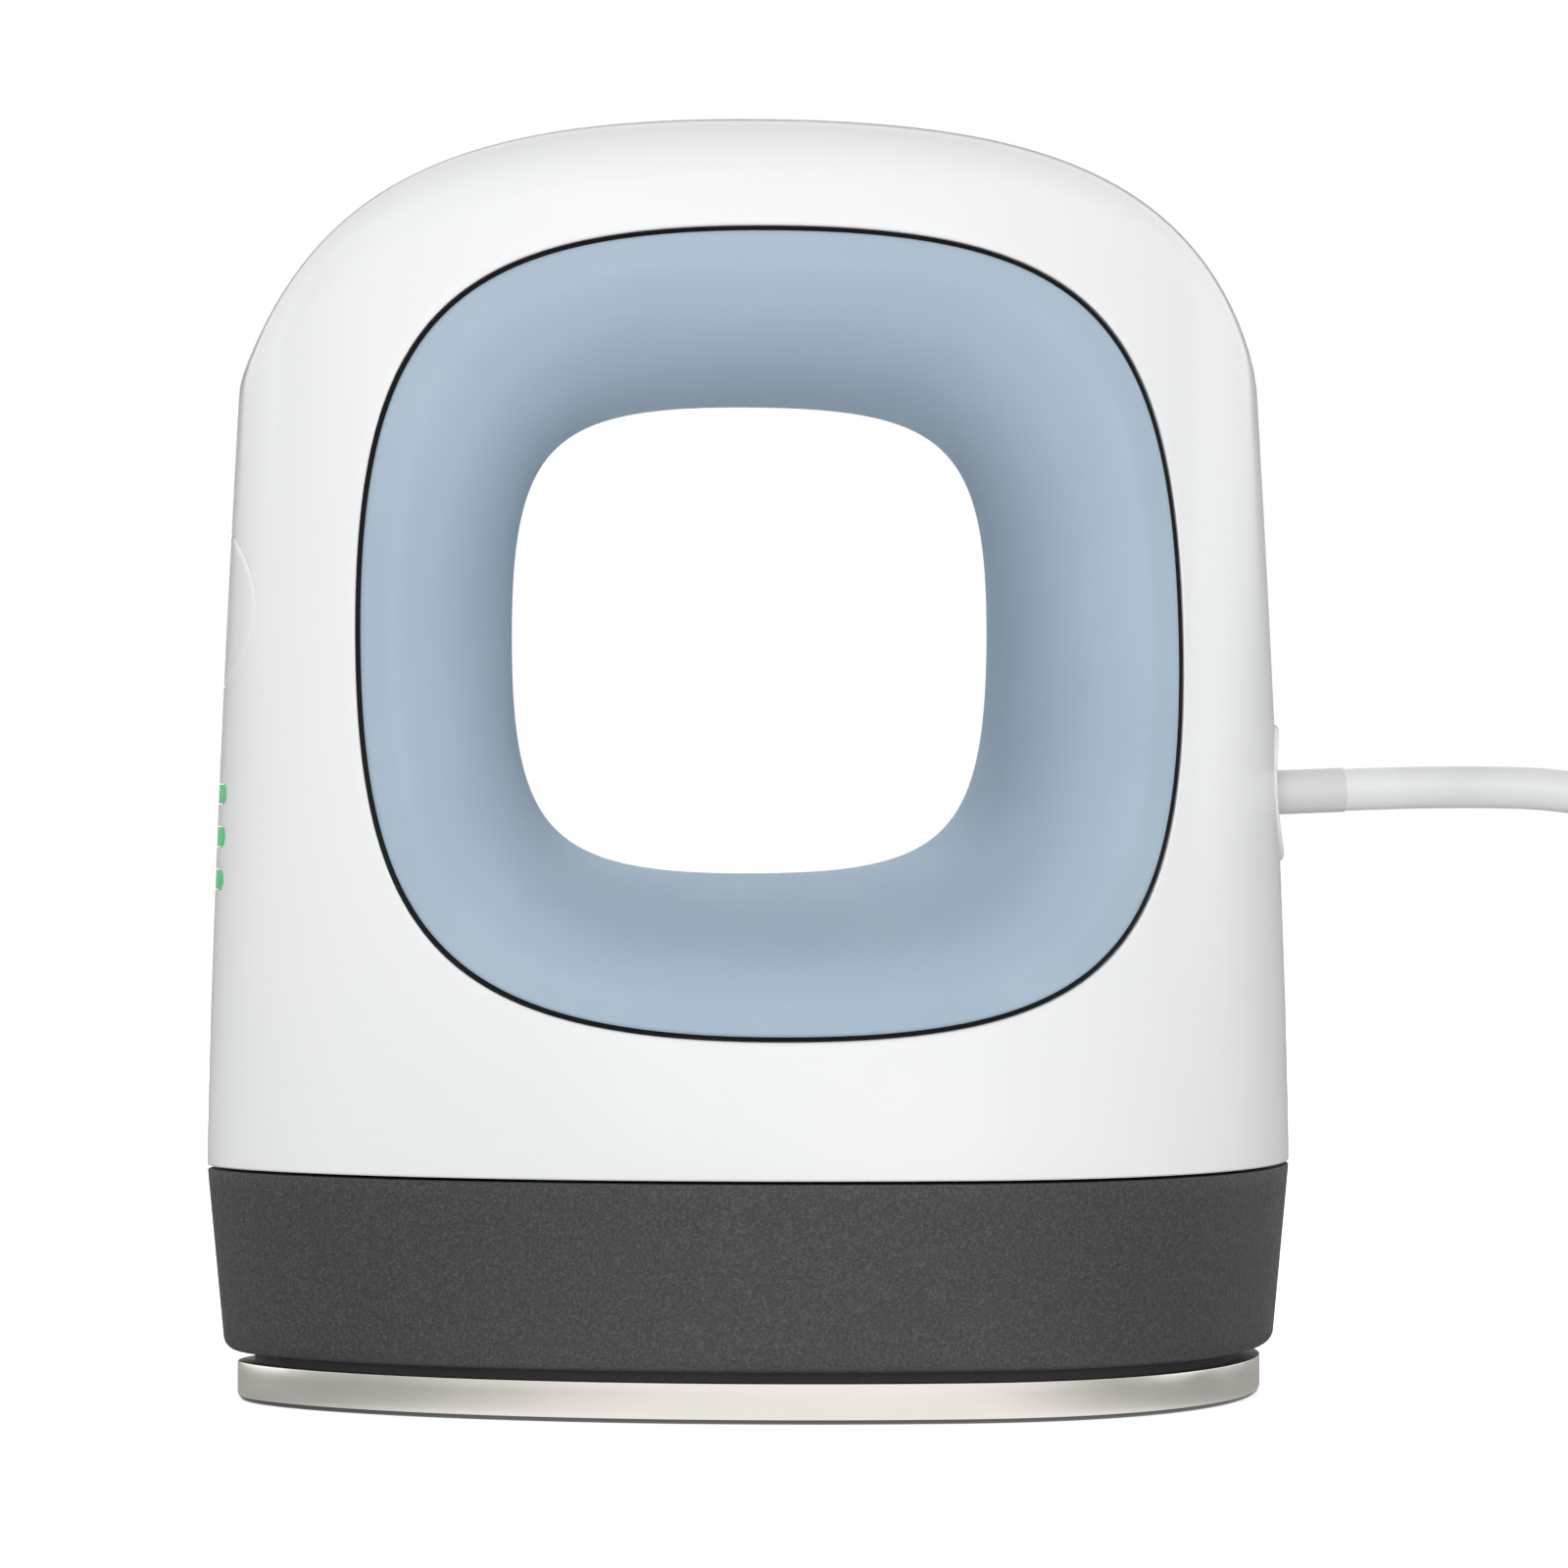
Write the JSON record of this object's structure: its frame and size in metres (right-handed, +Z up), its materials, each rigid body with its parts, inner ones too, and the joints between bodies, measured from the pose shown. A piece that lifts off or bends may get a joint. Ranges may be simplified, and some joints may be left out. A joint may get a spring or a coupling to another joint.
{
  "type": "mini handheld heat press",
  "caption": "Small handheld heat press: teardrop heated plate under a glossy arched casing with a soft-lined finger hole, front button and mains lead.",
  "frame": {"origin": "middle of the sole's rest face: the middle of its length and width, on the surface that the press stands on", "axes": "+Z up, +X towards the round rear end where the lead leaves, -X towards the narrow nose with the button, Y across"},
  "size_m": [0.2238, 0.0537, 0.1018],
  "materials": {
    "gloss_white_abs": "moulded, high gloss",
    "blue_soft_touch": "moulded, soft-touch satin",
    "skirt_pbt": "moulded, fine spark texture",
    "dark_nylon": "moulded, matt",
    "plate_aluminium": "die-cast, satin rim, coated sole",
    "bright_sheet": "bright rolled sheet",
    "zinc_steel": "bright zinc plated",
    "ceramic_fibre": "soft white felt",
    "polyimide_film": "amber film",
    "clear_acrylic": "polished, clear with a green cast",
    "guard_grey_pa": "moulded, satin",
    "cord_pvc": "extruded, soft sheen",
    "tie_nylon": "woven hook strap",
    "plug_pvc": "moulded, fine matt",
    "blade_nickel": "nickel plated, bright",
    "board_fr4": "solder mask, semi-gloss",
    "black_epoxy": "moulded, matt",
    "yellow_box": "moulded, gloss",
    "can_sleeve": "shrink sleeve, gloss",
    "tube_glass": "drawn tube",
    "cutoff_case": "drawn case, satin",
    "terminal_green": "moulded, satin",
    "switch_white": "moulded, satin",
    "led_green": "clear lens, lit green",
    "wire_silicone": "extruded, matt",
    "wire_pvc": "extruded, satin"
  },
  "bodies": {
    "press": {"base_carrier": "dark_nylon", "base_skirt": "skirt_pbt", "board_fuse": "tube_glass", "board_screws": "zinc_steel", "casing_screws": "zinc_steel", "clamp_screws": "zinc_steel", "coil_tie": "tie_nylon", "control_board": "board_fr4", "control_chip": "black_epoxy", "control_ribbon": "wire_pvc", "cord": "cord_pvc", "cord_coil": "cord_pvc", "cord_socket": "gloss_white_abs", "cord_tail": "cord_pvc", "filter_capacitor": "yellow_box", "guard_retainer": "guard_grey_pa", "heat_plate": "plate_aluminium", "heat_shield": "bright_sheet", "heater_clamp": "zinc_steel", "heater_film": "polyimide_film", "heater_leads": "wire_silicone", "insulation_pad": "ceramic_fibre", "left_grip": "blue_soft_touch", "left_shell": "gloss_white_abs", "light_guide": "clear_acrylic", "mains_leads": "wire_pvc", "neck_ring": "dark_nylon", "plate_posts": "zinc_steel", "plate_screws": "zinc_steel", "plug_blades": "blade_nickel", "plug_body": "plug_pvc", "power_board": "board_fr4", "push_switch": "black_epoxy", "right_grip": "blue_soft_touch", "right_shell": "gloss_white_abs", "sensor_leads": "wire_silicone", "smoothing_capacitor": "can_sleeve", "status_leds": "led_green", "terminal_block": "terminal_green", "thermal_cutoff": "cutoff_case", "thermistor": "tube_glass", "triac": "black_epoxy"},
    "power_button": {"power_button": "gloss_white_abs", "switch_plunger": "switch_white"},
    "cord_guard": {"cord_guard": "guard_grey_pa"}
  },
  "joints": [
    {"name": "power_button_press", "type": "slide", "parent": "press", "child": "power_button", "axis": [1, 0, 0], "range_m": [0, 0.0006], "stiffness_N_per_m": 2500},
    {"name": "cord_guard_swivel", "type": "hinge", "parent": "press", "child": "cord_guard", "pos_m": [0.04276, 0, 0.0485], "axis": [0.9993, 0, 0.0384], "range_deg": [-90, 90]}
  ]
}
